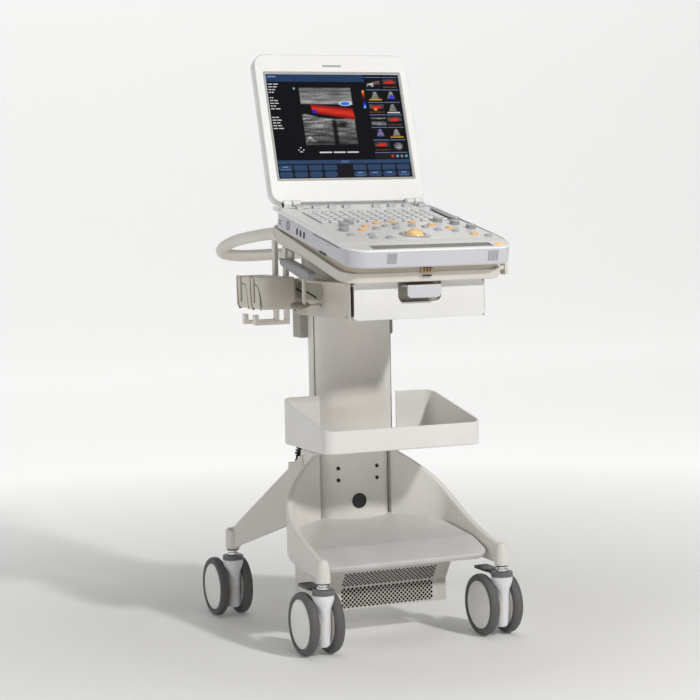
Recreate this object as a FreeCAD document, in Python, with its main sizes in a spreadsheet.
"""Ultrasound console with a folding display, docked on a height-adjustable cart with four twin-wheel casters.

Frame: millimetres, +X to the operator's right, +Y to the back, +Z up, floor at z = 0, origin at the
bottom centre of the whole object.  Three local frames are used: "floor" (the frame above), "deck"
(origin at the docking tray's front edge, tilted with the console) and "lid" (origin on the lid's hinge
axis, y through the lid's thickness, z up the lid).
"""
import FreeCAD, Part
import math
import os
import re
import Sketcher
from FreeCAD import Placement, Rotation, Vector

SIZES = {
    # casters
    "wheel_radius": 62.5, "tyre_width": 20.0, "wheel_width": 22.5, "wheel_gap_half": 15.5,
    "axle_radius": 5.0, "running_gap": 0.05, "caster_trail": 37.0, "fork_half_width": 12.0,
    "fork_foot_height": 20.0, "ring_radius": 22.0, "body_gap": 0.3, "stem_radius": 5.0,
    "stem_disc_radius": 11.0, "front_stem_half": 196.0, "front_stem_y": -215.0, "rear_stem_half": 214.0,
    "rear_stem_y": 236.0, "pedal_half_width": 16.0, "pedal_reach": 95.0, "pedal_pivot_y": 28.0,
    "pedal_pin_radius": 2.0, "ear_half_width": 4.0,
    # base
    "boss_radius": 15.0, "wing_wall": 20.0, "wing_top": 366.0, "hub_low": 152.0, "arm_wall": 20.0,
    "arm_hub_low": 222.0, "shelf_nose_y": -184.0, "shelf_nose_high": 170.0, "shelf_crease_y": -110.0,
    "shelf_crease_high": 194.0, "shelf_rear_high": 208.0, "shelf_half": 172.0, "case_half": 133.0,
    "case_low": 60.0, "case_front": -86.0, "case_fold": 106.0, "case_top_front": -118.0,
    "case_rear": 84.0, "case_wall": 3.0, "case_corner": 18.0, "transformer_half": 70.0,
    "transformer_front": -40.0, "transformer_rear": 50.0, "inlet_half": 26.0, "inlet_low": 88.0,
    "inlet_high": 124.0, "inlet_depth": 12.0,
    # column
    "column_half": 80.5, "column_front": 45.0, "column_shoulder": 78.0, "column_rear": 86.0,
    "column_low": 200.0, "column_wall": 4.0, "plug_radius": 16.0, "plug_height": 259.0,
    "plug_depth": 7.0, "screw_radius": 4.0, "screw_half": 44.0, "screw_low": 304.0, "screw_pitch": 25.0,
    "screw_depth": 9.0, "sleeve_low": 391.0, "pad_height": 44.0, "pad_depth": 10.0,
    "spring_radius": 14.0, "spring_high": 430.0, "rod_radius": 5.0, "rod_low": 226.0,
   
    # basket tray on the sleeve
    "basket_half": 172.0, "basket_front": -187.0, "basket_wall": 4.0, "basket_corner": 22.0,
    # drawer and housing
    "housing_half": 140.0, "housing_front": -245.0, "housing_low": 656.0, "housing_wall": 6.0,
    "flange_thickness": 5.0, "drawer_gap": 1.5, "drawer_wall": 3.0, "drawer_rear": 30.0,
    "front_thickness": 16.0, "front_gap": 1.0, "front_corner": 12.0, "recess_half": 46.0,
    "recess_depth": 11.0, "pull_half": 36.0, "pull_reach": 22.0, "pull_thickness": 4.0,
    # docking tray and console, in the tilted deck frame
    "deck_tilt": 11.6, "dock_front_y": -286.6, "dock_half": 165.0, "dock_depth": 389.0,
    "dock_floor": 8.0, "dock_rim": 10.0, "dock_rim_wall": 5.0, "dock_corner": 30.0,
    "console_front": -36.0, "band_low": 27.5, "deck_low": 60.0, "console_corner": 40.0,
    "pan_front": 6.0, "case_skin": 3.0, "board_thickness": 2.0, "board_front": 20.0, "well_half": 142.0,
    "well_front": 192.0, "well_rear": 300.0, "key_pitch_x": 20.0, "key_pitch_y": 21.0, "key_size": 17.0,
    "round_key_radius": 8.0, "round_key_gap": 0.6, "soft_key_radius": 9.0, "soft_key_half": 8.0,
    "slider_x": 158.0, "slider_half": 7.0, "slider_well_half": 13.0, "slider_front": 211.0,
    "slider_pitch": 12.5, "slider_thick": 4.0, "knob_radius": 8.5, "ball_x": 4.0, "ball_y": 66.0,
    "ball_radius": 19.0,
    # lid
    "lid_lean": 17.1, "lid_low": 6.0, "lid_high": 329.0, "lid_face": 12.0, "bezel_thickness": 8.0,
    "lid_thickness": 28.0, "lid_wall": 3.0, "lid_corner": 26.0, "screen_low": 57.5, "panel_margin": 5.0,
    "panel_sink": 3.0, "panel_thickness": 9.0, "lug_radius": 7.0, "lug_inner": 120.0, "lug_width": 18.0,
    "lug_gap": 1.0, "hinge_pin_radius": 4.0,
    # handle, holder, hooks, pegs, box behind the column
    "tube_radius": 12.5, "handle_rear": 322.0, "handle_start_y": 96.0, "holder_front": -24.0,
    "holder_rear": 136.0, "well_radius": 20.0, "holder_corner": 22.0, "hook_thick": 8.0, "hook_front_y": 30.0,
    "hook_rear_y": 88.0, "hook_width": 16.0, "peg_y": -97.0, "peg_rod_radius": 3.0, "clip_y": -234.0,
    "clip_reach": 38.0, "paddle_half": 9.0, "paddle_pivot_y": -7.0, "paddle_front_y": -150.0,
    # curly cable and its fitting
    "cable_radius": 8.0, "cable_low_x": -100.0, "cable_top_x": -20.0, "fitting_height": 24.0,
    "fitting_half": 13.0,
}

# sizes that follow another, so that what fits stays fitted: (the leading size, times, plus)
FOLLOWERS = {
    # casters and what stands on them
    "tyre_inner_radius": ("wheel_radius", 1, -13.5), "ring_low": ("wheel_radius", 2, -1.0),
    "ring_high": ("ring_low", 1, 10.7), "boss_low": ("ring_high", 1, 12.3),
    "boss_high": ("boss_low", 1, 46.0), "stem_low": ("ring_low", 1, -12.0),
    "stem_high": ("boss_low", 1, 28.0), "pedal_low": ("ring_low", 1, 3.0),
    "pedal_high": ("pedal_low", 1, 6.0), "pedal_pivot_high": ("pedal_low", 1, 1.0),
    # sleeve, hub and box around the column
    "sleeve_half": ("column_half", 1, 9.5), "sleeve_front": ("column_front", 1, -11.0),
    "sleeve_shoulder": ("column_shoulder", 1, -4.0), "sleeve_rear": ("column_rear", 1, 6.0),
    "hub_half": ("column_half", 1, 19.5), "hub_front": ("column_front", 1, 15.0),
    "hub_rear": ("column_rear", 1, 36.0), "spring_y": ("column_front", 1, 21.0),
    "column_high": ("housing_low", 1, -20.0), "basket_rear": ("sleeve_front", 1, 12.0),
    "basket_front_high": ("sleeve_low", 1, 46.0), "basket_rear_high": ("sleeve_low", 1, 94.0),
    "rear_box_half": ("sleeve_half", 1, 16.0), "rear_box_rear": ("sleeve_rear", 1, 44.0),
    "rear_box_low": ("housing_low", 1, -54.0), "transformer_high": ("hub_low", 1, -12.0),
    "cable_low_y": ("hub_rear", 1, 28.0), "cable_low_z": ("wing_top", 1, -31.0),
    "cable_top_y": ("sleeve_rear", 1, 30.0),
    # drawer, tray and what hangs beside them
    "housing_rear": ("sleeve_front", 1, 18.0), "housing_high": ("housing_low", 1, 73.0),
    "drawer_side_high": ("housing_high", 1, -17.0), "recess_low": ("housing_high", 1, -40.0),
    "recess_high": ("housing_high", 1, -7.0), "pull_low": ("housing_high", 1, -32.0),
    "dock_front_z": ("housing_high", 1, 8.0), "flange_half": ("housing_half", 1, 10.0),
    "wedge_half": ("housing_half", 1, -20.0), "front_half": ("housing_half", 1, 1.0),
    "hook_x": ("flange_half", -1, -7.0), "holder_right": ("hook_x", 1, -8.0),
    "holder_left": ("holder_right", 1, -71.0), "well_x": ("holder_left", 1, 30.0),
    "hook_out": ("hook_x", 1, -76.0), "peg_out": ("housing_half", -1, -50.0),
    "holder_low": ("housing_low", 1, 14.0), "holder_high": ("holder_low", 1, 65.0),
    "well_bottom": ("holder_low", 1, 14.0), "hook_low": ("holder_low", 1, -33.0),
    "hook_lip": ("hook_low", 1, 21.0), "hook_top": ("dock_front_z", 1, 93.0),
    "peg_z": ("housing_low", 1, 24.0), "handle_start_half": ("dock_half", 1, 7.0),
    "handle_corner_half": ("dock_half", 1, 22.0), "handle_start_high": ("dock_front_z", 1, 79.0),
    "handle_high": ("dock_front_z", 1, 43.0), "paddle_x": ("dock_half", -1, -13.0),
    "paddle_pivot_z": ("dock_front_z", 1, 31.0), "paddle_front_z": ("dock_front_z", 1, 7.0),
    "paddle_low_z": ("dock_front_z", 1, -4.0),
    # console and lid
    "console_half": ("dock_half", 1, 10.0), "console_rear": ("dock_depth", 1, -21.0),
    "pan_half": ("dock_half", 1, -9.0), "pan_rear": ("dock_depth", 1, -29.0),
    "board_half": ("pan_half", 1, -6.0), "board_rear": ("pan_rear", 1, -20.0),
    "board_low": ("band_low", 1, 6.5), "deck_high": ("deck_low", 1, 8.0),
    "hinge_back": ("console_rear", 1, -11.0), "hinge_up": ("deck_high", 1, 6.0),
    "hinge_recess": ("deck_low", 1, 1.5), "well_floor": ("deck_low", 1, 4.0),
    "key_low": ("well_floor", 1, 2.3), "key_high": ("key_low", 1, 4.5),
    "round_key_low": ("deck_low", 1, -2.0), "round_key_high": ("deck_high", 1, 3.5),
    "soft_key_back": ("hinge_back", 1, -17.0), "soft_key_pivot": ("deck_high", 1, -2.0),
    "slider_high": ("deck_high", 1, 3.5), "knob_high": ("deck_high", 1, 12.0),
    "ball_centre": ("deck_low", 1, 2.0), "lid_half": ("console_half", 1, -1.0),
    "screen_half_width": ("lid_half", 1, -22.0), "screen_high": ("lid_high", 1, -43.5),
}
for follower, (leader, times, plus) in FOLLOWERS.items():
    SIZES[follower] = times * SIZES[leader] + plus

doc = FreeCAD.newDocument("ultrasound_cart")
sheet = doc.addObject("Spreadsheet::Sheet", "sizes")
for row, (alias, value) in enumerate(SIZES.items(), 1):
    sheet.set(f"A{row}", alias)
    sheet.set(f"B{row}", str(value))
    sheet.setAlias(f"B{row}", alias)
doc.recompute()

X_AXIS = Vector(1, 0, 0)
Y_AXIS = Vector(0, 1, 0)
Z_AXIS = Vector(0, 0, 1)
WORD = re.compile(r"[a-z_][a-z_0-9]*")
subparts = {}


def size(alias):
    """The value of a cell of the sheet, for shapes made with Part's own functions."""
    return float(sheet.get(alias))


def bound(text):
    """An expression in which every word of the sheet is read from the sheet."""
    return WORD.sub(lambda found: "sizes." + found[0] if found[0] in SIZES else found[0], str(text))


FRAMES = {
    "deck": ("dock_front_y", "dock_front_z", "deck_tilt"),
    "lid": ("dock_front_y + hinge_back * cos(deck_tilt) - hinge_up * sin(deck_tilt)",
            "dock_front_z + hinge_back * sin(deck_tilt) + hinge_up * cos(deck_tilt)", "-lid_lean"),
}


def register(item, name, frame="floor"):
    """Gives a finished sub-part its label and the placement of its frame."""
    item.Label = name
    item.Placement = Placement(Vector(0, 0, 0), Rotation(X_AXIS, 10 if frame != "floor" else 0))
    if frame != "floor":
        back, up, tilt = FRAMES[frame]
        item.setExpression("Placement.Base.y", bound(back))
        item.setExpression("Placement.Base.z", bound(up))
        item.setExpression("Placement.Rotation.Angle", bound(tilt))
    subparts[name] = item
    return item


class Piece:
    """A PartDesign body whose sketches, pads, pockets and fillets are bound to the sheet."""

    def __init__(self, name, frame="floor"):
        self.body = doc.addObject("PartDesign::Body", name)
        register(self.body, name, frame)

    def sketch(self, plane, start):
        """An empty sketch on one of the body's own planes, moved along its normal."""
        sketch = self.body.newObject("Sketcher::SketchObject", "sketch")
        origin_plane = [item for item in self.body.Origin.OriginFeatures if item.Role == plane + "_Plane"][0]
        sketch.AttachmentSupport = [(origin_plane, "")]
        sketch.MapMode = "FlatFace"
        sketch.setExpression("AttachmentOffset.Base.z", bound(start))
        return sketch

    @staticmethod
    def fix(sketch, kind, element, vertex, expression):
        """One dimension from the sketch's origin to a point, bound to the sheet."""
        index = sketch.addConstraint(Sketcher.Constraint(kind, -1, 1, element, vertex, 1.0 + element))
        sketch.setExpression(f"Constraints[{index}]", bound(expression))

    def polygon(self, plane, start, corners):
        """A closed outline through corners given as pairs of expressions."""
        sketch = self.sketch(plane, start)
        count = len(corners)
        for index in range(count):
            following = (index + 1) % count
            begin = Vector(index, index * index, 0)
            sketch.addGeometry(Part.LineSegment(begin, Vector(following, following * following, 0)), False)
        for index in range(count):
            sketch.addConstraint(Sketcher.Constraint("Coincident", index, 2, (index + 1) % count, 1))
        for index, (across, along) in enumerate(corners):
            self.fix(sketch, "DistanceX", index, 1, across)
            self.fix(sketch, "DistanceY", index, 1, along)
        return sketch

    def rectangle(self, plane, start, low, high):
        """A rectangle between two corners given as pairs of expressions."""
        corners = [low, (high[0], low[1]), high, (low[0], high[1])]
        return self.polygon(plane, start, corners)

    def circles(self, plane, start, centres, radius):
        """Equal circles at centres given as pairs of expressions."""
        sketch = self.sketch(plane, start)
        for index, (across, along) in enumerate(centres):
            sketch.addGeometry(Part.Circle(Vector(index, index, 0), Z_AXIS, 1.0), False)
            self.fix(sketch, "DistanceX", index, 3, across)
            self.fix(sketch, "DistanceY", index, 3, along)
            count = sketch.addConstraint(Sketcher.Constraint("Radius", index, 1.0))
            sketch.setExpression(f"Constraints[{count}]", bound(radius))
        return sketch

    def pad(self, sketch, length):
        """Adds the sketch's outline, extruded along its normal."""
        feature = self.body.newObject("PartDesign::Pad", "pad")
        feature.Profile = sketch
        feature.setExpression("Length", bound(length))
        doc.recompute()
        return feature

    def pocket(self, sketch, length):
        """Cuts the sketch's outline, extruded along its normal."""
        before = self.body.Shape.Volume
        feature = self.body.newObject("PartDesign::Pocket", "pocket")
        feature.Profile = sketch
        feature.Reversed = True
        feature.setExpression("Length", bound(length))
        doc.recompute()
        if self.body.Shape.Volume >= before - 1e-6:
            raise ValueError("a pocket of " + self.body.Label + " cuts nothing")
        return feature

    def fillet(self, radius, chosen):
        """Rounds the edges of the last feature for which chosen(edge) is true."""
        base = self.body.Tip
        names = [f"Edge{index}" for index, edge in enumerate(base.Shape.Edges, 1) if chosen(edge)]
        feature = self.body.newObject("PartDesign::Fillet", "fillet")
        feature.Base = (base, names)
        feature.setExpression("Radius", bound(radius))
        doc.recompute()
        return feature


def feature(name, shape, frame="floor"):
    """A sub-part whose shape is made with Part's own functions."""
    item = doc.addObject("Part::Feature", name)
    item.Shape = shape
    return register(item, name, frame)


def runs_along(edge, axis):
    """True for a straight edge parallel to an axis."""
    if edge.Curve.TypeId != "Part::GeomLine":
        return False
    return abs(edge.tangentAt(edge.FirstParameter).dot(axis)) > 0.999


def box(low, high):
    """A box between two corners."""
    return Part.makeBox(high[0] - low[0], high[1] - low[1], high[2] - low[2], Vector(*low))


def rounded_box(low, high, radius):
    """A box with its four upright edges rounded."""
    solid = box(low, high)
    return solid.makeFillet(radius, [edge for edge in solid.Edges if runs_along(edge, Z_AXIS)])


def prism(points, direction):
    """A flat outline extruded along a vector."""
    corners = [Vector(*point) for point in points]
    return Part.Face(Part.makePolygon(corners + corners[:1])).extrude(direction)


def rod(start, end, radius):
    """A round rod between two points."""
    start = Vector(*start)
    run = Vector(*end) - start
    return Part.makeCylinder(radius, run.Length, start, run)


def rounded_path(points, radii):
    """Straight runs joined by tangent arcs, one radius for each inner point."""
    points = [Vector(*point) for point in points]
    edges = []
    last = points[0]
    for before, corner, after, radius in zip(points, points[1:], points[2:], radii):
        inward = (before - corner).normalize()
        outward = (after - corner).normalize()
        half = math.acos(inward.dot(outward)) / 2
        reach = radius / math.tan(half)
        begin = corner + inward * reach
        end = corner + outward * reach
        middle_way = (inward + outward).normalize()
        middle = corner + middle_way * (radius / math.sin(half) - radius)
        edges.append(Part.LineSegment(last, begin).toShape())
        edges.append(Part.Arc(begin, middle, end).toShape())
        last = end
    edges.append(Part.LineSegment(last, points[-1]).toShape())
    return Part.Wire(edges)


def tube_along(path, radius):
    """A solid round bar swept along a wire."""
    start = path.OrderedEdges[0]
    direction = start.tangentAt(start.FirstParameter)
    circle = Part.Wire(Part.Circle(start.valueAt(start.FirstParameter), direction, radius).toShape())
    return path.makePipeShell([circle], True, False)


def mirrored(shape):
    """The same shape on the other side of the plane x = 0."""
    return shape.mirror(Vector(0, 0, 0), X_AXIS)


# ---- casters ---------------------------------------------------------------------------------------

STEMS = {
    "front_left": ("-front_stem_half", "front_stem_y"),
    "front_right": ("front_stem_half", "front_stem_y"),
    "rear_left": ("-rear_stem_half", "rear_stem_y"),
    "rear_right": ("rear_stem_half", "rear_stem_y"),
}


def stem_place(corner):
    """The x and y of a caster's swivel axis."""
    side = -1 if corner.endswith("left") else 1
    which = corner.split("_")[0]
    return side * size(which + "_stem_half"), size(which + "_stem_y")


def caster_stems():
    """Four pins, each with a disc under its boss, on which the casters swivel."""
    stems = []
    for corner in STEMS:
        x, y = stem_place(corner)
        pin = rod((x, y, size("stem_low")), (x, y, size("stem_high")), size("stem_radius"))
        disc_low = size("ring_high") + size("body_gap")
        disc = rod((x, y, disc_low), (x, y, size("boss_low")), size("stem_disc_radius"))
        stems.append(pin.fuse(disc).removeSplitter())
    feature("caster_stems", Part.makeCompound(stems))


def caster_fork(corner):
    """The body between the twin wheels, with its swivel ring and, in front, the pedal's ear."""
    x, y = STEMS[corner]
    left = f"{x} - fork_half_width"
    piece = Piece(f"{corner}_fork")
    side = [("-20", "ring_low + 1"), ("-20", "ring_low - 12"), ("-12", "wheel_radius - 2.5"),
            ("-9", "fork_foot_height"), ("12", "fork_foot_height"), ("46", "wheel_radius - 14.5"),
            ("52", "wheel_radius + 1.5"), ("46", "wheel_radius + 17.5"), ("24", "ring_low - 16"),
            ("20", "ring_low + 1")]
    profile = [(f"{y} + {across}", high) for across, high in side]
    piece.pad(piece.polygon("YZ", left, profile), "2 * fork_half_width")
    piece.fillet("5", lambda edge: runs_along(edge, X_AXIS) and edge.CenterOfMass.z < 100)
    piece.pad(piece.circles("XY", "ring_low", [(x, y)], "ring_radius"), "ring_high - ring_low")
    if corner.startswith("front"):
        ear = [(f"{y} + 14", "ring_low - 24"), (f"{y} + 30", "ring_low - 24"), (f"{y} + 33", "ring_low - 6"),
               (f"{y} + 33", "pedal_high"), (f"{y} + 23", "pedal_high"), (f"{y} + 14", "ring_low - 6")]
        piece.pad(piece.polygon("YZ", f"{x} - ear_half_width", ear), "2 * ear_half_width")
        pivot = [(f"{y} + pedal_pivot_y", "pedal_pivot_high")]
        hole = piece.circles("YZ", f"{x} - 20", pivot, "pedal_pin_radius + running_gap")
        piece.pocket(hole, "40")
    bore = piece.circles("XY", "stem_low - body_gap", [(x, y)], "stem_radius + running_gap")
    piece.pocket(bore, "ring_high")
    centre = [(f"{y} + caster_trail", "wheel_radius")]
    piece.pocket(piece.circles("YZ", left, centre, "axle_radius"), "2 * fork_half_width")


def caster_axle(corner):
    """The pin that carries both wheels of a caster."""
    x, y = STEMS[corner]
    half = "(wheel_gap_half + wheel_width - 3)"
    axle = doc.addObject("Part::Cylinder", f"{corner}_axle")
    axle.Label = f"{corner}_axle"
    axle.setExpression("Radius", bound("axle_radius"))
    axle.setExpression("Height", bound(f"2 * {half}"))
    axle.Placement = Placement(Vector(0, 0, 0), Rotation(Y_AXIS, 90))
    axle.setExpression("Placement.Base.x", bound(f"{x} - {half}"))
    axle.setExpression("Placement.Base.y", bound(f"{y} + caster_trail"))
    axle.setExpression("Placement.Base.z", bound("wheel_radius"))
    subparts[axle.Label] = axle


def caster_wheels(corner):
    """Two wheel bodies with domed caps, and the two tyres around them."""
    x, y = stem_place(corner)
    y += size("caster_trail")
    radius = size("tyre_inner_radius")
    inner = size("wheel_gap_half")
    outer = inner + size("wheel_width")
    bore = size("axle_radius") + size("running_gap")
    bodies = []
    tyres = []
    for side in (-1, 1):
        disc = rod((x + side * inner, y, size("wheel_radius")),
                   (x + side * outer, y, size("wheel_radius")), radius)
        rim = [edge for edge in disc.Edges if abs(edge.CenterOfMass.x - x - side * outer) < 0.01]
        disc = disc.makeFillet(5, rim)
        drill = rod((x + side * (inner - 1), y, size("wheel_radius")),
                    (x + side * (outer - 3 + size("body_gap")), y, size("wheel_radius")), bore)
        bodies.append(disc.cut(drill))
        start = inner + (size("wheel_width") - size("tyre_width")) / 2
        band = rod((x + side * start, y, size("wheel_radius")),
                   (x + side * (start + size("tyre_width")), y, size("wheel_radius")),
                   size("wheel_radius"))
        band = band.makeFillet(7, [edge for edge in band.Edges if edge.Curve.TypeId == "Part::GeomCircle"])
        tyres.append(band.cut(rod((x + side * inner, y, size("wheel_radius")),
                                  (x + side * outer, y, size("wheel_radius")), radius)))
    feature(f"{corner}_wheels", Part.makeCompound([body.cut(tyre) for body, tyre in zip(bodies, tyres)]))
    feature(f"{corner}_tyres", Part.makeCompound(tyres))


def brake_pedal(corner):
    """A foot pedal over the wheels, hinged on the fork's ear by its own pin."""
    x, y = STEMS[corner]
    piece = Piece(f"{corner}_brake_pedal")
    plate = piece.rectangle("XY", "pedal_low", (f"{x} - pedal_half_width", f"{y} + 36"),
                            (f"{x} + pedal_half_width", f"{y} + pedal_reach"))
    piece.pad(plate, "pedal_high - pedal_low")
    piece.fillet("6", lambda edge: runs_along(edge, Z_AXIS))
    for side in ("-", "+"):
        inner = f"{x} {side} (ear_half_width + body_gap)"
        outer = f"{x} {side} (ear_half_width + 6)"
        cheek = piece.rectangle("XY", "pedal_low - 3", (inner, f"{y} + 23.5"), (outer, f"{y} + 37"))
        piece.pad(cheek, "pedal_high - pedal_low + 3")
    pin = piece.circles("YZ", f"{x} - ear_half_width - 3",
                        [(f"{y} + pedal_pivot_y", "pedal_pivot_high")], "pedal_pin_radius")
    piece.pad(pin, "2 * ear_half_width + 6")


# ---- base ------------------------------------------------------------------------------------------

def base_hub():
    """The upright channel that wraps the column's back and carries wings, arms and shelf."""
    piece = Piece("base_hub")
    gap = "column_half + 0.5"
    outline = [("-hub_half", "hub_front"), (f"-({gap})", "hub_front"), (f"-({gap})", "column_rear + 0.5"),
               (gap, "column_rear + 0.5"), (gap, "hub_front"), ("hub_half", "hub_front"),
               ("hub_half", "hub_rear"), ("-hub_half", "hub_rear")]
    piece.pad(piece.polygon("XY", "hub_low", outline), "wing_top - hub_low")
    return piece.body


def wing_curve(offset):
    """Points of the right wing's plan curve from its boss to the hub, moved sideways by offset."""
    half = size("front_stem_half")
    y = size("front_stem_y")
    centre = [(half, y), (half - 6, y + 65), (half - 15, y + 125), (half - 19, y + 185),
              (half - 31, y + 230), (half - 56, y + 263), (size("hub_half") - 4, y + 293)]
    curve = Part.BSplineCurve()
    curve.interpolate([Vector(px, py, 0) for px, py in centre])
    points = []
    for step in range(9):
        at = curve.FirstParameter + (curve.LastParameter - curve.FirstParameter) * step / 8
        along = curve.tangent(at)[0]
        points.append(curve.value(at) + Vector(-along.y, along.x, 0).normalize() * -offset)
    return points


def curve_edge(points, height=0.0):
    """A smooth edge through points, at a height."""
    curve = Part.BSplineCurve()
    curve.interpolate([point + Vector(0, 0, height) for point in points])
    return curve.toShape()


def front_wings(hub):
    """The two curved walls from the hub to the front casters' bosses."""
    wall = size("wing_wall") / 2
    outer = wing_curve(wall)
    inner = wing_curve(-wall)
    edges = [curve_edge(outer), Part.LineSegment(outer[-1], inner[-1]).toShape(),
             curve_edge(inner[::-1]), Part.LineSegment(inner[0], outer[0]).toShape()]
    low = size("boss_low")
    plan = Part.Face(Part.Wire(edges))
    plan.translate(Vector(0, 0, low))
    wall_solid = plan.extrude(Vector(0, 0, size("wing_top") - low))
    y = size("front_stem_y")
    top = size("wing_top")
    side = [(y - 40, low), (y + 35, low), (y + 95, low + 11), (y + 155, low + 25), (y + 235, low + 43),
            (y + 330, low + 43), (y + 330, top), (y + 300, top), (y + 275, top - 18), (y + 251, 302),
            (y + 176, 288), (y + 101, 238), (y + 45, 203), (y, size("boss_high") - 4),
            (y - 40, size("boss_high") - 4)]
    slab = prism([(0, py, pz) for py, pz in side], Vector(400, 0, 0))
    wing = wall_solid.common(slab).fuse(caster_boss("front_right")).cut(hub.Shape)
    wing = wing.cut(stem_hole("front_right")).removeSplitter()
    feature("front_wings", Part.makeCompound([mirrored(wing), wing]))
    return wing


def caster_boss(corner):
    """The domed post that holds a caster's stem."""
    x, y = stem_place(corner)
    post = rod((x, y, size("boss_low")), (x, y, size("boss_high")), size("boss_radius"))
    top = [edge for edge in post.Edges if abs(edge.CenterOfMass.z - size("boss_high")) < 0.01]
    return post.makeFillet(size("boss_radius") * 0.6, top)


def stem_hole(corner):
    """The hole of the stem's own size in a boss."""
    x, y = stem_place(corner)
    return rod((x, y, size("boss_low") - 1), (x, y, size("stem_high")), size("stem_radius"))


def rear_arms(hub):
    """Two straight tapered plates from the hub to the rear casters' bosses."""
    x, y = stem_place("rear_right")
    start_x = size("hub_half") - size("arm_wall") / 2
    start_y = size("hub_rear") - size("arm_wall") / 2 - 3
    run = Vector(x - start_x, y - start_y, 0)
    length = run.Length
    side = [(0, size("arm_hub_low")), (length, size("boss_low")), (length, size("boss_high") - 3),
            (0, size("wing_top"))]
    plate = prism([(along, -size("arm_wall") / 2, up) for along, up in side],
                  Vector(0, size("arm_wall"), 0))
    plate.Placement = Placement(Vector(start_x, start_y, 0),
                                Rotation(Z_AXIS, math.degrees(math.atan2(run.y, run.x))))
    arm = plate.fuse(caster_boss("rear_right")).cut(hub.Shape)
    arm = arm.cut(stem_hole("rear_right")).removeSplitter()
    feature("rear_arms", Part.makeCompound([mirrored(arm), arm]))
    return arm


def shelf_plate(hub, wing, column):
    """The dished plate between the wings, on which the column stands."""
    nose = size("shelf_nose_y")
    rear = size("hub_rear")
    side = [(nose + 4, size("hub_low")), (rear, size("hub_low")), (rear, size("shelf_rear_high")),
            (size("column_front"), size("shelf_rear_high")),
            (size("shelf_crease_y"), size("shelf_crease_high")), (nose, size("shelf_nose_high")),
            (nose - 3, size("shelf_nose_high") - 9)]
    half = size("shelf_half")
    slab = prism([(-half, py, pz) for py, pz in side], Vector(2 * half, 0, 0))
    inner = wing_curve(-size("wing_wall") / 2)
    edge_half = [(point.x - 0.01, point.y) for point in inner]
    outline = [(px, py, 0) for px, py in edge_half] + [(size("hub_half"), rear, 0)]
    outline += [(-px, py, pz) for px, py, pz in outline[::-1]]
    plan = prism(outline, Vector(0, 0, 400))
    plate = slab.common(plan).cut(hub.Shape).cut(Part.makeCompound([wing, mirrored(wing)])).cut(column)
    feature("shelf_plate", plate.removeSplitter())


def power_case():
    """The box under the shelf, open in front, its floor corners rounded."""
    piece = Piece("power_case")
    side = [("case_rear", "case_low"), ("case_front + case_wall", "case_low"),
            ("case_front + case_wall", "case_fold"), ("case_top_front + case_wall", "hub_low"),
            ("case_rear", "hub_low")]
    piece.pad(piece.polygon("YZ", "-case_half", side), "2 * case_half")
    piece.fillet("case_corner", lambda edge: runs_along(edge, Y_AXIS) and edge.CenterOfMass.z < 70)
    inside = [("case_rear - case_wall", "case_low + case_wall"),
              ("case_front - 40", "case_low + case_wall"), ("case_front - 40", "hub_low - case_wall"),
              ("case_rear - case_wall", "hub_low - case_wall")]
    cavity = piece.polygon("YZ", "-case_half + case_wall", inside)
    piece.pocket(cavity, "2 * (case_half - case_wall)")


def power_grille():
    """The folded sheet in front of the power case."""
    piece = Piece("power_grille")
    side = [("case_front + case_wall", "case_low"), ("case_front", "case_low"),
            ("case_front", "case_fold"), ("case_top_front", "hub_low"),
            ("case_top_front + case_wall", "hub_low"), ("case_front + case_wall", "case_fold")]
    piece.pad(piece.polygon("YZ", "-case_half", side), "2 * case_half")
    piece.fillet("case_corner", lambda edge: runs_along(edge, Y_AXIS) and edge.CenterOfMass.z < 70)


def transformer():
    """The isolating transformer on the case's floor."""
    piece = Piece("transformer")
    outline = piece.rectangle("XY", "case_low + case_wall", ("-transformer_half", "transformer_front"),
                              ("transformer_half", "transformer_rear"))
    piece.pad(outline, "transformer_high - case_low - case_wall")


def mains_inlet():
    """The socket for the mains lead on the case's back."""
    piece = Piece("mains_inlet")
    outer = piece.rectangle("XZ", "-case_rear - inlet_depth", ("-inlet_half", "inlet_low"),
                            ("inlet_half", "inlet_high"))
    piece.pad(outer, "inlet_depth")
    socket = piece.rectangle("XZ", "-case_rear - inlet_depth", ("-inlet_half + 4", "inlet_low + 6"),
                             ("inlet_half - 4", "inlet_high - 6"))
    piece.pocket(socket, "inlet_depth - 3")


# ---- column ----------------------------------------------------------------------------------------

def column_prism(half, front, shoulder, rear, low, high):
    """An upright bar with flat back and sides and a bowed front."""
    def arc(start, middle, end):
        return Part.Arc(Vector(*start, low), Vector(*middle, low), Vector(*end, low)).toShape()

    def line(start, end):
        return Part.LineSegment(Vector(*start, low), Vector(*end, low)).toShape()

    knee = (0.55 * half, front + 7)
    bend = (0.84 * half, front + 7 + 0.36 * (shoulder - front - 7))
    edges = [line((-half, rear), (-half, shoulder)),
             arc((-half, shoulder), (-bend[0], bend[1]), (-knee[0], knee[1])),
             arc((-knee[0], knee[1]), (0, front), knee),
             arc(knee, bend, (half, shoulder)),
             line((half, shoulder), (half, rear)),
             line((half, rear), (-half, rear))]
    return Part.Face(Part.Wire(edges)).extrude(Vector(0, 0, high - low))


def lower_column_solid(inset=0.0):
    """The fixed column's outer shape, or the same moved inward by inset."""
    return column_prism(size("column_half") - inset, size("column_front") + inset,
                        size("column_shoulder"), size("column_rear") - inset,
                        size("column_low"), size("column_high"))


def sleeve_solid(inset=0.0):
    """The moving sleeve's outer shape, or the same moved inward by inset."""
    return column_prism(size("sleeve_half") - inset, size("sleeve_front") + inset,
                        size("sleeve_shoulder"), size("sleeve_rear") - inset,
                        size("sleeve_low"), size("housing_low"))


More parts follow.
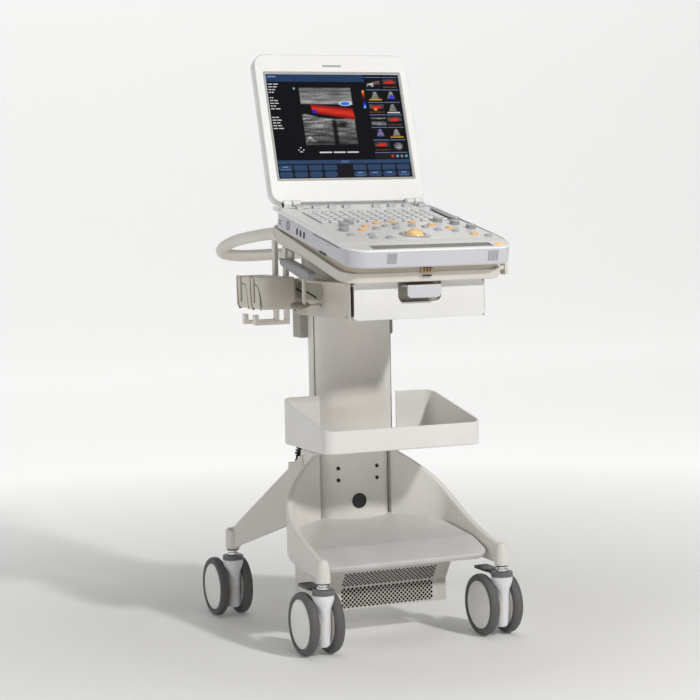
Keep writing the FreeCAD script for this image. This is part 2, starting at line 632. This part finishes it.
def column_parts():
    """The fixed column, its plug and screws, the moving sleeve and the glide pads."""
    outer = lower_column_solid()
    front = size("column_front")
    plug_start = front - 1.5
    plug = rod((0, plug_start, size("plug_height")),
               (0, plug_start + size("plug_depth"), size("plug_height")), size("plug_radius"))
    screws = []
    for side in (-1, 1):
        for step in (0, 1):
            z = size("screw_low") + step * size("screw_pitch")
            x = side * size("screw_half")
            screws.append(rod((x, front + 5.5, z), (x, front + 5.5 + size("screw_depth"), z),
                              size("screw_radius")))
    fittings = Part.makeCompound([plug] + screws)
    shell = outer.cut(lower_column_solid(size("column_wall"))).cut(fittings)
    feature("lower_column", shell)
    feature("column_fittings", fittings)
    feature("sleeve", sleeve_solid().cut(sleeve_solid(size("column_wall"))))
    pads = []
    for side in (-1, 1):
        ends = sorted((side * (size("column_half") + size("body_gap")),
                       side * (size("sleeve_half") - size("column_wall"))))
        y = size("sleeve_shoulder") + 1
        pads.append(box((ends[0], y, size("sleeve_low")),
                        (ends[1], y + size("pad_depth"), size("sleeve_low") + size("pad_height"))))
    feature("glide_pads", Part.makeCompound(pads))
    return outer


def gas_spring():
    """The cylinder that stands in the fixed column and the rod that carries the moving part."""
    piece = Piece("gas_spring_cylinder")
    piece.pad(piece.circles("XY", "column_low", [("0", "spring_y")], "spring_radius"),
              "spring_high - column_low")
    piece.pocket(piece.circles("XY", "rod_low - 10", [("0", "spring_y")], "rod_radius + running_gap"),
                 "spring_high")
    piece = Piece("gas_spring_rod")
    piece.pad(piece.circles("XY", "rod_low", [("0", "spring_y")], "rod_radius"), "housing_low - rod_low")


def basket_tray():
    """The open tray on the sleeve's front, its side walls falling towards the front."""
    half = size("basket_half")
    front = size("basket_front")
    rear = size("basket_rear")
    low = size("sleeve_low")
    wall = size("basket_wall")
    outer = rounded_box((-half, front, low), (half, rear, size("basket_rear_high")),
                        size("basket_corner"))
    inner = rounded_box((-half + wall, front + wall, low + wall),
                        (half - wall, rear - wall, size("basket_rear_high") + 10),
                        size("basket_corner") - wall)
    slope = [(-half - 1, front - 1, size("basket_front_high")),
             (-half - 1, rear + 1, size("basket_rear_high")),
             (-half - 1, rear + 1, size("basket_rear_high") + 60),
             (-half - 1, front - 1, size("basket_rear_high") + 60)]
    above = prism(slope, Vector(2 * half + 2, 0, 0))
    tray = outer.cut(inner).cut(above).cut(sleeve_solid())
    feature("basket_tray", tray)


# ---- drawer and its housing ------------------------------------------------------------------------

def dock_underside(y):
    """Height of the docking tray's underside over a point at depth y, as an expression."""
    return (f"dock_front_z + tan(deck_tilt) * ({y} - dock_front_y)"
            " - dock_floor / cos(deck_tilt)")


def drawer_housing():
    """The box under the docking tray, open in front, with its top flange and sloping top block."""
    piece = Piece("drawer_housing")
    body = piece.rectangle("XY", "housing_low", ("-housing_half", "housing_front"),
                           ("housing_half", "housing_rear"))
    piece.pad(body, "housing_high - housing_low")
    flange = piece.rectangle("XY", "housing_high - flange_thickness",
                             ("-flange_half", "housing_front"), ("flange_half", "housing_rear"))
    piece.pad(flange, "flange_thickness")
    wedge = [("housing_front", "housing_high - 1"), ("housing_rear - 4", "housing_high - 1"),
             ("housing_rear - 4", dock_underside("housing_rear - 4")),
             ("housing_front", dock_underside("housing_front"))]
    piece.pad(piece.polygon("YZ", "-wedge_half", wedge), "2 * wedge_half")
    head = [("housing_rear - 4", "housing_low"), ("sleeve_rear", "housing_low"),
            ("sleeve_rear", dock_underside("sleeve_rear")),
            ("housing_rear - 4", dock_underside("housing_rear - 4"))]
    piece.pad(piece.polygon("YZ", "-sleeve_half", head), "2 * sleeve_half")
    cavity = piece.rectangle("XZ", "-housing_rear + housing_wall",
                             ("-housing_half + housing_wall", "housing_low + housing_wall"),
                             ("housing_half - housing_wall", "housing_high - housing_wall"))
    piece.pocket(cavity, "housing_rear - housing_front")


def drawer():
    """The drawer: an open box with its front plate, and the pull in the front's recess."""
    piece = Piece("drawer")
    half = "housing_half - housing_wall - drawer_gap"
    back_of_front = "housing_front - front_gap"
    low = "housing_low + housing_wall + drawer_gap"
    tub = piece.rectangle("XY", low, (f"-({half})", back_of_front), (half, "drawer_rear"))
    piece.pad(tub, f"drawer_side_high - ({low})")
    inside = piece.rectangle("XY", f"{low} + drawer_wall", (f"-({half}) + drawer_wall", back_of_front),
                             (f"{half} - drawer_wall", "drawer_rear - drawer_wall"))
    piece.pocket(inside, "drawer_side_high")
    plate = piece.rectangle("XZ", f"-({back_of_front})", ("-front_half", "housing_low"),
                            ("front_half", "housing_high"))
    piece.pad(plate, "front_thickness")
    front = size("housing_front") - size("front_gap")
    piece.fillet("front_corner",
                 lambda edge: runs_along(edge, Y_AXIS) and abs(edge.CenterOfMass.x) > size("front_half") - 1
                 and edge.CenterOfMass.y < front)
    recess = piece.rectangle("XZ", f"-({back_of_front}) + front_thickness - recess_depth",
                             ("-recess_half", "recess_low"), ("recess_half", "recess_high"))
    piece.pocket(recess, "recess_depth + 1")
    pull = Piece("drawer_pull")
    face = "housing_front - front_gap - front_thickness"
    hook = [(f"{face} + recess_depth", "recess_high"), (f"{face} - pull_reach", "recess_high"),
            (f"{face} - pull_reach", "pull_low"), (f"{face} - pull_reach + pull_thickness", "pull_low"),
            (f"{face} - pull_reach + pull_thickness", "recess_high - pull_thickness"),
            (f"{face} + recess_depth", "recess_high - pull_thickness")]
    pull.pad(pull.polygon("YZ", "-pull_half", hook), "2 * pull_half")


# ---- docking tray, release paddle, latch -----------------------------------------------------------

def dock_tray():
    """The tilted tray with a low rim in which the console sits."""
    piece = Piece("dock_tray", "deck")
    outline = piece.rectangle("XY", "-dock_floor", ("-dock_half", "0"), ("dock_half", "dock_depth"))
    piece.pad(outline, "dock_floor + dock_rim")
    piece.fillet("dock_corner", lambda edge: runs_along(edge, Z_AXIS))
    inner = piece.rectangle("XY", "0", ("-dock_half + dock_rim_wall", "dock_rim_wall"),
                            ("dock_half - dock_rim_wall", "dock_depth - dock_rim_wall"))
    piece.pocket(inner, "dock_rim + 1")
    notch = piece.rectangle("XY", "0", ("-14", "-1"), ("14", "dock_rim_wall + 2"))
    piece.pocket(notch, "dock_rim + 1")


def dock_latch():
    """The sliding catch in the notch of the tray's front rim."""
    piece = Piece("dock_latch", "deck")
    outline = piece.rectangle("XY", "body_gap", ("-13", "-6"), ("13", "dock_rim_wall"))
    piece.pad(outline, "19")


def release_paddle():
    """The grip under the tray's left edge, pivoted at its rear end."""
    piece = Piece("release_paddle")
    side = [("paddle_pivot_y + 8", "paddle_pivot_z + 2"), ("paddle_pivot_y - 14", "paddle_pivot_z + 5"),
            ("paddle_front_y + 6", "paddle_front_z + 5"), ("paddle_front_y", "paddle_front_z"),
            ("paddle_front_y + 8", "paddle_low_z"), ("paddle_front_y + 32", "paddle_low_z - 2"),
            ("paddle_pivot_y + 4", "paddle_pivot_z - 10")]
    piece.pad(piece.polygon("YZ", "paddle_x - paddle_half", side), "2 * paddle_half")
    front = size("paddle_front_y") + 10
    piece.fillet("3", lambda edge: runs_along(edge, X_AXIS) and edge.CenterOfMass.y < front)
    hole = piece.circles("YZ", "paddle_x - paddle_half - 1", [("paddle_pivot_y", "paddle_pivot_z")],
                         "peg_rod_radius + running_gap")
    piece.pocket(hole, "2 * paddle_half + 2")


# ---- console ---------------------------------------------------------------------------------------

AMBER_KEYS = [(-84, 122), (-63, 153), (-28, 177), (11, 185), (50, 177), (81, 153), (106, 122), (130, 60)]
WHITE_KEYS = [(-84, 76), (-50, 128), (-22, 148), (6, 160), (35, 146), (59, 134), (-7, 127), (74, 106),
              (105, 92), (-92, 48), (-60, 44), (-128, 78), (152, 40)]
SOFT_KEYS = [-128, -92, -57, -24, 43, 78, 112, 147]
KNOBS = [(-86, 181), (-107, 158), (-124, 120), (109, 181), (150, 186), (134, 154), (150, 114)]
# places of the controls on the deck, from the docking tray's front edge: each is a choice of its own


def console_case():
    """The lower half: a side band with a tapered pan under it, hollow and open above."""
    piece = Piece("console_case", "deck")
    band = piece.rectangle("XY", "band_low", ("-console_half", "console_front"),
                           ("console_half", "console_rear"))
    piece.pad(band, "deck_low - band_low")
    piece.fillet("console_corner", lambda edge: runs_along(edge, Z_AXIS) and edge.CenterOfMass.y < 0)
    pan = piece.rectangle("XY", "0", ("-pan_half", "pan_front"), ("pan_half", "pan_rear"))
    piece.pad(pan, "band_low")
    inside = piece.rectangle("XY", "band_low + case_skin", ("-console_half + case_skin", "20"),
                             ("console_half - case_skin", "console_rear - case_skin"))
    piece.pocket(inside, "deck_low")
    front = piece.rectangle("XY", "band_low + case_skin", ("-console_half + 50", "console_front + case_skin"),
                            ("console_half - 50", "21"))
    piece.pocket(front, "deck_low")
    lower = piece.rectangle("XY", "case_skin", ("-pan_half + case_skin", "pan_front + case_skin"),
                            ("pan_half - case_skin", "pan_rear - case_skin"))
    piece.pocket(lower, "deck_low")
    posts = [("-board_half + 30", "board_front + 40"), ("board_half - 30", "board_front + 40"),
             ("-board_half + 30", "board_rear - 40"), ("board_half - 30", "board_rear - 40")]
    for post in posts:
        piece.pad(piece.circles("XY", "case_skin - 1", [post], "5"), "board_low - case_skin + 1")


def console_deck():
    """The top cover with its wells and holes for keys, sliders, trackball and hinge lugs."""
    piece = Piece("console_deck", "deck")
    outline = piece.rectangle("XY", "deck_low", ("-console_half", "console_front"),
                              ("console_half", "console_rear"))
    piece.pad(outline, "deck_high - deck_low")
    piece.fillet("console_corner", lambda edge: runs_along(edge, Z_AXIS) and edge.CenterOfMass.y < 0)
    lug_end = "lug_inner + 2 * lug_width + lug_gap"
    for side in ("-", ""):
        near = f"{side}(lug_inner - 2)"
        far = f"{side}({lug_end} + 2)"
        recess = piece.rectangle("XY", "hinge_recess", (near, "hinge_back - 13"), (far, "console_rear + 1"))
        piece.pocket(recess, "deck_high")
    well = piece.rectangle("XY", "well_floor", ("-well_half", "well_front"), ("well_half", "well_rear"))
    piece.pocket(well, "deck_high")
    slots = "slider_front - slider_pitch"
    strip = piece.rectangle("XY", "well_floor", ("slider_x - slider_well_half", slots),
                            ("slider_x + slider_well_half", "slider_front + 8 * slider_pitch"))
    piece.pocket(strip, "deck_high")
    keys = [(str(x), str(y)) for x, y in AMBER_KEYS + WHITE_KEYS]
    piece.pocket(piece.circles("XY", "deck_low - 1", keys, "round_key_radius + round_key_gap"), "20")
    ball = [("ball_x", "ball_y")]
    piece.pocket(piece.circles("XY", "deck_low - 1", ball, "ball_radius + body_gap"), "20")
    for x in SOFT_KEYS:
        slot = piece.rectangle("XY", "deck_low - 1",
                               (f"{x} - soft_key_half - 1", "soft_key_back - soft_key_radius - 2"),
                               (f"{x} + soft_key_half + 1", "soft_key_back + soft_key_radius - 6"))
        piece.pocket(slot, "20")
    for side in ("-", ""):
        start = f"{side}(lug_inner + 1.5 * lug_width + lug_gap) - lug_width / 2"
        block = piece.rectangle("YZ", start, ("hinge_back - lug_radius", "hinge_recess - 1"),
                                ("hinge_back + lug_radius", "hinge_up"))
        piece.pad(block, "lug_width")
        piece.pad(piece.circles("YZ", start, [("hinge_back", "hinge_up")], "lug_radius"), "lug_width")
        piece.pocket(piece.circles("YZ", start, [("hinge_back", "hinge_up")], "hinge_pin_radius"),
                     "lug_width")


def main_board():
    """The console's circuit board."""
    piece = Piece("main_board", "deck")
    outline = piece.rectangle("XY", "board_low", ("-board_half", "board_front"),
                              ("board_half", "board_rear"))
    piece.pad(outline, "board_thickness")


def key_banks():
    """The letter keys in their well, the round keys, the soft keys and the gain sliders."""
    half = size("key_size") / 2
    low = size("key_low")
    letters = []
    for line in range(5):
        for column in range(14):
            x = (column - 6.5) * size("key_pitch_x")
            y = size("well_front") + 12 + line * size("key_pitch_y")
            letters.append(box((x - half, y - half, low), (x + half, y + half, size("key_high"))))
    feature("letter_keys", Part.makeCompound(letters), "deck")
    rounds = [rod((x, y, size("round_key_low")), (x, y, size("round_key_high")), size("round_key_radius"))
              for x, y in AMBER_KEYS + WHITE_KEYS]
    feature("round_keys", Part.makeCompound(rounds), "deck")
    back = size("soft_key_back")
    pivot = size("soft_key_pivot")
    softs = []
    for x in SOFT_KEYS:
        wheel = rod((x - size("soft_key_half"), back, pivot), (x + size("soft_key_half"), back, pivot),
                    size("soft_key_radius"))
        upper = box((x - 20, back - 20, pivot), (x + 20, back + 2, pivot + 20))
        softs.append(wheel.common(upper))
    feature("soft_keys", Part.makeCompound(softs), "deck")
    sliders = []
    for step in range(8):
        y = size("slider_front") + step * size("slider_pitch")
        sliders.append(box((size("slider_x") - size("slider_half"), y - size("slider_thick") / 2,
                            size("well_floor") + size("body_gap")),
                           (size("slider_x") + size("slider_half"), y + size("slider_thick") / 2,
                            size("slider_high"))))
    feature("gain_sliders", Part.makeCompound(sliders), "deck")
    knobs = [rod((x, y, size("deck_high")), (x, y, size("knob_high")), size("knob_radius"))
             for x, y in KNOBS]
    feature("rotary_knobs", Part.makeCompound(knobs), "deck")
    centre = Vector(size("ball_x"), size("ball_y"), size("ball_centre"))
    feature("trackball", Part.makeSphere(size("ball_radius"), centre), "deck")


# ---- lid -------------------------------------------------------------------------------------------

def lid_bezel():
    """The lid's front frame with its window and the two hinge lugs."""
    piece = Piece("lid_bezel", "lid")
    plate = piece.rectangle("XZ", "-lid_face - bezel_thickness", ("-lid_half", "lid_low"),
                            ("lid_half", "lid_high"))
    piece.pad(plate, "bezel_thickness")
    piece.fillet("lid_corner", lambda edge: runs_along(edge, Y_AXIS))
    window = piece.rectangle("XZ", "-lid_face - bezel_thickness", ("-screen_half_width", "screen_low"),
                             ("screen_half_width", "screen_high"))
    piece.pocket(window, "bezel_thickness")
    for side in ("-", ""):
        start = f"{side}(lug_inner + lug_width / 2) - lug_width / 2"
        strap = piece.rectangle("YZ", start, ("0", "-2"), ("lid_face + 2", "lug_radius"))
        piece.pad(strap, "lug_width")
        foot = piece.rectangle("YZ", start, ("lid_face", "-2"),
                               ("lid_face + bezel_thickness", "lid_low + 20"))
        piece.pad(foot, "lug_width")
        piece.pad(piece.circles("YZ", start, [("0", "0")], "lug_radius"), "lug_width")
        piece.pocket(piece.circles("YZ", start, [("0", "0")], "hinge_pin_radius + running_gap"),
                     "lug_width")


def lid_cover():
    """The lid's rear shell."""
    piece = Piece("lid_cover", "lid")
    back = "lid_face + lid_thickness"
    plate = piece.rectangle("XZ", f"-({back})", ("-lid_half", "lid_low"), ("lid_half", "lid_high"))
    piece.pad(plate, "lid_thickness - bezel_thickness")
    piece.fillet("lid_corner", lambda edge: runs_along(edge, Y_AXIS))
    piece.fillet("6", lambda edge: abs(edge.CenterOfMass.y - size("lid_face") - size("lid_thickness")) < 0.01)
    cavity = piece.rectangle("XZ", f"-({back}) + lid_wall", ("-lid_half + 9", "lid_low + 9"),
                             ("lid_half - 9", "lid_high - 9"))
    piece.pocket(cavity, "lid_thickness")


def display_panel():
    """The flat display behind the bezel's window."""
    piece = Piece("display_panel", "lid")
    edge = "panel_margin"
    face = "lid_face + bezel_thickness"
    plate = piece.rectangle("XZ", f"-({face}) - panel_thickness",
                            (f"-screen_half_width - {edge}", f"screen_low - {edge}"),
                            (f"screen_half_width + {edge}", f"screen_high + {edge}"))
    piece.pad(plate, "panel_thickness")
    glass = piece.rectangle("XZ", f"-({face})", ("-screen_half_width + 0.2", "screen_low + 0.2"),
                            ("screen_half_width - 0.2", "screen_high - 0.2"))
    piece.pad(glass, "bezel_thickness - panel_sink")


def hinge_pins():
    """The two pins between the console's lugs and the lid's lugs."""
    pins = []
    for side in (-1, 1):
        pins.append(rod((side * size("lug_inner"), 0, 0),
                        (side * (size("lug_inner") + 2 * size("lug_width") + size("lug_gap")), 0, 0),
                        size("hinge_pin_radius")))
    feature("hinge_pins", Part.makeCompound(pins), "lid")


# ---- handle, holder, hooks and pegs ----------------------------------------------------------------

def push_handle(dock, hooks):
    """The round tube behind the tray, with the two sockets that hold it under the tray's corners."""
    half = size("handle_corner_half")
    start = size("handle_start_half")
    rear = size("handle_rear")
    high = size("handle_high")
    left = [(-start, size("handle_start_y"), size("handle_start_high")),
            (-start - 3, size("handle_start_y") + 60, size("handle_start_high") - 5),
            (-half, rear - 34, high + 4), (-half + 44, rear, high)]
    points = left + [(-x, y, z) for x, y, z in left[::-1]]
    tube = tube_along(rounded_path(points, [140, 28, 28, 28, 28, 140]), size("tube_radius"))
    for side in (-1, 1):
        begin = (side * start, size("handle_start_y"), size("handle_start_high"))
        end = (side * (start - 26), size("handle_start_y") - 40, size("handle_start_high") - 24)
        tube = tube.fuse(rod(begin, end, size("tube_radius") - 2))
    feature("push_handle", tube.cut(dock.Shape).cut(hooks.Shape).removeSplitter())


def probe_holder():
    """The block with two wells on the left, open above, each with a slit to its left face."""
    piece = Piece("probe_holder")
    outline = piece.rectangle("XY", "holder_low", ("holder_left", "holder_front"),
                              ("holder_right", "holder_rear"))
    piece.pad(outline, "holder_high - holder_low")
    left = size("holder_left") + 1
    piece.fillet("holder_corner", lambda edge: runs_along(edge, Z_AXIS) and edge.CenterOfMass.x < left)
    for part in ("0.27", "0.73"):
        y = f"holder_front + {part} * (holder_rear - holder_front)"
        piece.pocket(piece.circles("XY", "well_bottom", [("well_x", y)], "well_radius"), "holder_high")
        slit = piece.rectangle("XY", "well_bottom", ("holder_left - 1", f"{y} - 5"), ("well_x", f"{y} + 5"))
        piece.pocket(slit, "holder_high")


def cable_hooks():
    """Two flat posts that carry the holder, turned outward and up below it."""
    hooks = []
    thick = size("hook_thick")
    x = size("hook_x")
    for y in (size("hook_front_y"), size("hook_rear_y")):
        low = size("hook_low")
        outline = [(x, size("hook_top")), (x - thick, size("hook_top")), (x - thick, low + thick),
                   (size("hook_out") + thick, low + thick), (size("hook_out") + thick, size("hook_lip")),
                   (size("hook_out"), size("hook_lip")), (size("hook_out"), low), (x, low)]
        start = y - size("hook_width") / 2
        hook = prism([(px, start, pz) for px, pz in outline], Vector(0, size("hook_width"), 0))
        hooks.append(hook.cut(space_above_dock()))
    feature("cable_hooks", Part.makeCompound(hooks))


def side_fittings():
    """The cable-wrap peg and the paddle's bracket and pin on the left, and the small hook on the right."""
    y = size("peg_y")
    z = size("peg_z")
    stub = rod((-size("housing_half"), y, z), (size("peg_out") + 6, y, z), size("peg_rod_radius"))
    head = box((size("peg_out") - 3, y - 20, z - 6), (size("peg_out") + 6, y + 20, z + 6))
    head = head.makeFillet(5, [edge for edge in head.Edges if runs_along(edge, X_AXIS)])
    peg = stub.fuse(head).removeSplitter()
    y = size("paddle_pivot_y")
    z = size("paddle_pivot_z")
    left = -size("dock_half")
    bracket = box((left - 2, y - 12, z - 10), (left + 4, y + 12, z + 60)).cut(space_above_dock())
    pin = rod((left - 2, y, z), (size("paddle_x") - size("paddle_half"), y, z), size("peg_rod_radius"))
    y = size("clip_y")
    z = size("dock_front_z") + math.tan(math.radians(size("deck_tilt"))) * (y - size("dock_front_y"))
    right = size("dock_half")
    reach = right + size("clip_reach")
    arm = box((right, y - 8, z - 4), (reach, y + 8, z + 4))
    lip = box((reach - 7, y - 11, z - 14), (reach, y + 11, z + 10))
    lip = lip.makeFillet(3, [edge for edge in lip.Edges if runs_along(edge, X_AXIS)])
    clip = arm.fuse(lip).removeSplitter()
    feature("side_fittings", Part.makeCompound([peg, bracket.fuse(pin).removeSplitter(), clip]))


def space_above_dock():
    """A block whose lower face is the docking tray's underside."""
    tilt = math.radians(size("deck_tilt"))
    drop = size("dock_floor") / math.cos(tilt)
    corners = []
    for y in (-400, 200):
        height = size("dock_front_z") + math.tan(tilt) * (y - size("dock_front_y")) - drop
        corners.append((-300, y, height))
    corners += [(-300, 200, 1200), (-300, -400, 1200)]
    return prism(corners, Vector(600, 0, 0))


def rear_box():
    """The box behind the sleeve under the housing, where the curly cable ends."""
    piece = Piece("rear_box")
    outline = piece.rectangle("XY", "rear_box_low", ("-rear_box_half", "sleeve_rear"),
                              ("rear_box_half", "rear_box_rear"))
    piece.pad(outline, "housing_low - rear_box_low")


def lift_cable():
    """The curly cable's outer shape, from the fitting on the base to the box behind the sleeve."""
    low = Vector(size("cable_low_x"), size("cable_low_y"), size("cable_low_z"))
    top = Vector(size("cable_top_x"), size("cable_top_y"), size("rear_box_low"))
    run = (top - low).normalize() * (2 * size("cable_radius"))
    slab = box((-400, -400, low.z), (400, 400, top.z))
    feature("lift_cable", rod(low - run, top + run, size("cable_radius")).common(slab))


def cable_fitting(hub, arm):
    """The block on the rear left arm that holds the curly cable's lower end."""
    half = size("fitting_half")
    x = size("cable_low_x")
    y = size("cable_low_y")
    high = size("cable_low_z")
    block = rounded_box((x - half, size("hub_rear"), high - size("fitting_height")),
                        (x + half, y + half, high), 4)
    feature("cable_fitting", block.cut(hub.Shape).cut(mirrored(arm)))


# ---- the whole object ------------------------------------------------------------------------------

def build():
    """Makes every sub-part."""
    caster_stems()
    for corner in STEMS:
        caster_fork(corner)
        caster_axle(corner)
        caster_wheels(corner)
    for corner in ("front_left", "front_right"):
        brake_pedal(corner)
    hub = base_hub()
    doc.recompute()
    wing = front_wings(hub)
    arm = rear_arms(hub)
    column = column_parts()
    shelf_plate(hub, wing, column)
    power_case()
    power_grille()
    transformer()
    mains_inlet()
    gas_spring()
    basket_tray()
    drawer_housing()
    drawer()
    dock_tray()
    doc.recompute()
    cable_hooks()
    push_handle(subparts["dock_tray"], subparts["cable_hooks"])
    dock_latch()
    release_paddle()
    console_case()
    console_deck()
    main_board()
    key_banks()
    lid_bezel()
    lid_cover()
    display_panel()
    hinge_pins()
    probe_holder()
    side_fittings()
    rear_box()
    lift_cable()
    cable_fitting(hub, arm)


def check():
    """Stops on any failed object and on any sub-part without a sound shape."""
    doc.recompute()
    for item in doc.Objects:
        if "Invalid" in item.State or "Error" in item.State:
            raise ValueError(f"{item.Label} failed: {item.State}")
    for name, item in subparts.items():
        if item.Shape.isNull() or not item.Shape.isValid() or not item.Shape.Solids:
            raise ValueError(f"{name} has no sound solid")


build()
check()
os.makedirs("parts", exist_ok=True)
for name, item in subparts.items():
    item.Shape.exportStep(os.path.join("parts", name + ".step"))
print(len(subparts), "sub-parts written")
